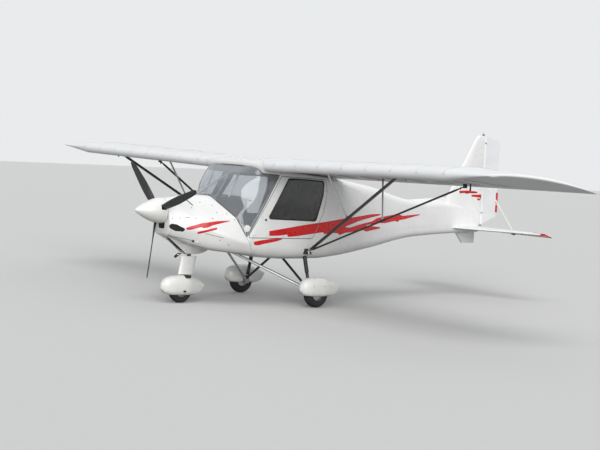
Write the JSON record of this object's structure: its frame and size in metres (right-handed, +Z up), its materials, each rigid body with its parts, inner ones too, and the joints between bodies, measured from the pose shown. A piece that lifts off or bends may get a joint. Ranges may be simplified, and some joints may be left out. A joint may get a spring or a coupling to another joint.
{
  "type": "ultralight aircraft",
  "caption": "High-wing strut-braced ultralight aircraft with an enclosed cabin, a nose propeller and faired wheels.",
  "frame": {"origin": "on the ground under the middle of the aircraft's length, in its plane of symmetry", "axes": "+X to the nose, +Y to the left wing tip, +Z up"},
  "size_m": [6.2, 9.45, 2.352],
  "materials": {
    "gelcoat_white": "white gelcoat over glass fibre, polished",
    "wing_fabric": "white coated sailcloth, semi-gloss",
    "surface_fabric": "white coated sailcloth, semi-gloss",
    "clear_glazing": "clear polycarbonate, lightly tinted",
    "black_anodised": "black anodised tube",
    "silver_tube": "bare aluminium tube, satin",
    "zinc_steel": "zinc-plated steel fittings",
    "engine_alloy": "cast engine casing",
    "black_composite": "black composite blades, satin",
    "spinner_white": "white gelcoat, polished",
    "tyre_rubber": "matt black rubber",
    "rim_alloy": "cast wheel, satin",
    "exhaust_steel": "heat-stained steel",
    "panel_black": "matt black moulding",
    "seat_cloth": "dark woven seat cover",
    "bench_grey": "grey moulded seat base",
    "beacon_red": "red lamp cover",
    "antenna_white": "white fibreglass rod"
  },
  "bodies": {
    "airframe": {"cabin_shell": "gelcoat_white", "tail_shell": "gelcoat_white", "engine_cowl": "gelcoat_white", "chin_scoop": "gelcoat_white", "exhaust_pipe": "exhaust_steel", "windscreen": "clear_glazing", "firewall": "panel_black", "rear_bulkhead": "bench_grey", "instrument_panel": "panel_black", "engine": "engine_alloy", "nose_leg_bearing": "zinc_steel", "wing_centre": "gelcoat_white", "strut_fittings": "zinc_steel", "shock_legs": "black_anodised", "fin": "gelcoat_white", "ventral_fin": "gelcoat_white", "beacon": "beacon_red", "tailplane": "wing_fabric", "tail_braces": "silver_tube", "antenna": "antenna_white", "cabin_frame": "silver_tube", "seat_bench": "bench_grey", "seats": "seat_cloth", "control_stick": "panel_black", "wing_left": "wing_fabric", "front_strut_left": "black_anodised", "rear_strut_left": "black_anodised", "jury_struts_left": "silver_tube", "gear_leg_left": "silver_tube", "main_pant_left": "gelcoat_white", "wing_right": "wing_fabric", "front_strut_right": "black_anodised", "rear_strut_right": "black_anodised", "jury_struts_right": "silver_tube", "gear_leg_right": "silver_tube", "main_pant_right": "gelcoat_white"},
    "nose_leg": {"nose_fork": "black_anodised", "nose_leg_fairing": "gelcoat_white", "nose_pant": "gelcoat_white"},
    "nose_wheel": {"nose_tyre": "tyre_rubber", "nose_rim": "rim_alloy"},
    "propeller_unit": {"propeller": "black_composite", "spinner": "spinner_white"},
    "rudder_body": {"rudder": "surface_fabric"},
    "elevator_body": {"elevator": "surface_fabric"},
    "main_wheel_left": {"main_tyre_left": "tyre_rubber", "main_rim_left": "rim_alloy"},
    "cabin_door_left": {"door_left": "gelcoat_white", "door_window_left": "clear_glazing"},
    "flap_body_left": {"flap_left": "surface_fabric"},
    "aileron_body_left": {"aileron_left": "surface_fabric"},
    "main_wheel_right": {"main_tyre_right": "tyre_rubber", "main_rim_right": "rim_alloy"},
    "cabin_door_right": {"door_right": "gelcoat_white", "door_window_right": "clear_glazing"},
    "flap_body_right": {"flap_right": "surface_fabric"},
    "aileron_body_right": {"aileron_right": "surface_fabric"}
  },
  "joints": [
    {"name": "propeller_spin", "type": "hinge", "parent": "airframe", "child": "propeller_unit", "pos_m": [2.778, 0, 1.135], "axis": [1, 0, 0], "continuous": true},
    {"name": "nose_steer", "type": "hinge", "parent": "airframe", "child": "nose_leg", "pos_m": [2.362, 0, 0.2], "axis": [-0.1945, 0, 0.9809], "range_deg": [-20, 20]},
    {"name": "nose_wheel_spin", "type": "hinge", "parent": "nose_leg", "child": "nose_wheel", "pos_m": [2.392, 0, 0.15], "axis": [0, 1, 0], "continuous": true},
    {"name": "rudder_turn", "type": "hinge", "parent": "airframe", "child": "rudder_body", "pos_m": [-2.795, 0, 1.6], "axis": [0, 0, 1], "range_deg": [-25, 25]},
    {"name": "elevator_turn", "type": "hinge", "parent": "airframe", "child": "elevator_body", "pos_m": [-2.742, 0, 0.968], "axis": [0, 1, 0], "range_deg": [0, 38]},
    {"name": "main_wheel_spin_left", "type": "hinge", "parent": "airframe", "child": "main_wheel_left", "pos_m": [0.885, 0.8, 0.165], "axis": [0, 1, 0], "continuous": true},
    {"name": "door_swing_left", "type": "hinge", "parent": "airframe", "child": "cabin_door_left", "pos_m": [1, 0.598, 1.634], "axis": [1, 0, 0], "range_deg": [0, 80]},
    {"name": "flap_turn_left", "type": "hinge", "parent": "airframe", "child": "flap_body_left", "pos_m": [0.62, 1.54, 1.70551], "axis": [0, -0.9998, -0.0175], "range_deg": [0, 38]},
    {"name": "aileron_turn_left", "type": "hinge", "parent": "airframe", "child": "aileron_body_left", "pos_m": [0.62, 3.38, 1.73763], "axis": [0, -0.9998, -0.0175], "range_deg": [-20, 20]},
    {"name": "main_wheel_spin_right", "type": "hinge", "parent": "airframe", "child": "main_wheel_right", "pos_m": [0.885, -0.8, 0.165], "axis": [0, 1, 0], "continuous": true},
    {"name": "door_swing_right", "type": "hinge", "parent": "airframe", "child": "cabin_door_right", "pos_m": [1, -0.598, 1.634], "axis": [-1, 0, 0], "range_deg": [0, 80]},
    {"name": "flap_turn_right", "type": "hinge", "parent": "airframe", "child": "flap_body_right", "pos_m": [0.62, -1.54, 1.70551], "axis": [0, -0.9998, 0.0175], "range_deg": [0, 38]},
    {"name": "aileron_turn_right", "type": "hinge", "parent": "airframe", "child": "aileron_body_right", "pos_m": [0.62, -3.38, 1.73763], "axis": [0, -0.9998, 0.0175], "range_deg": [-20, 20]}
  ],
  "couplings": [
    {"joint": "rudder_turn", "follows": "nose_steer", "ratio": -1.25},
    {"joint": "flap_turn_right", "follows": "flap_turn_left", "ratio": 1},
    {"joint": "aileron_turn_right", "follows": "aileron_turn_left", "ratio": -1}
  ]
}
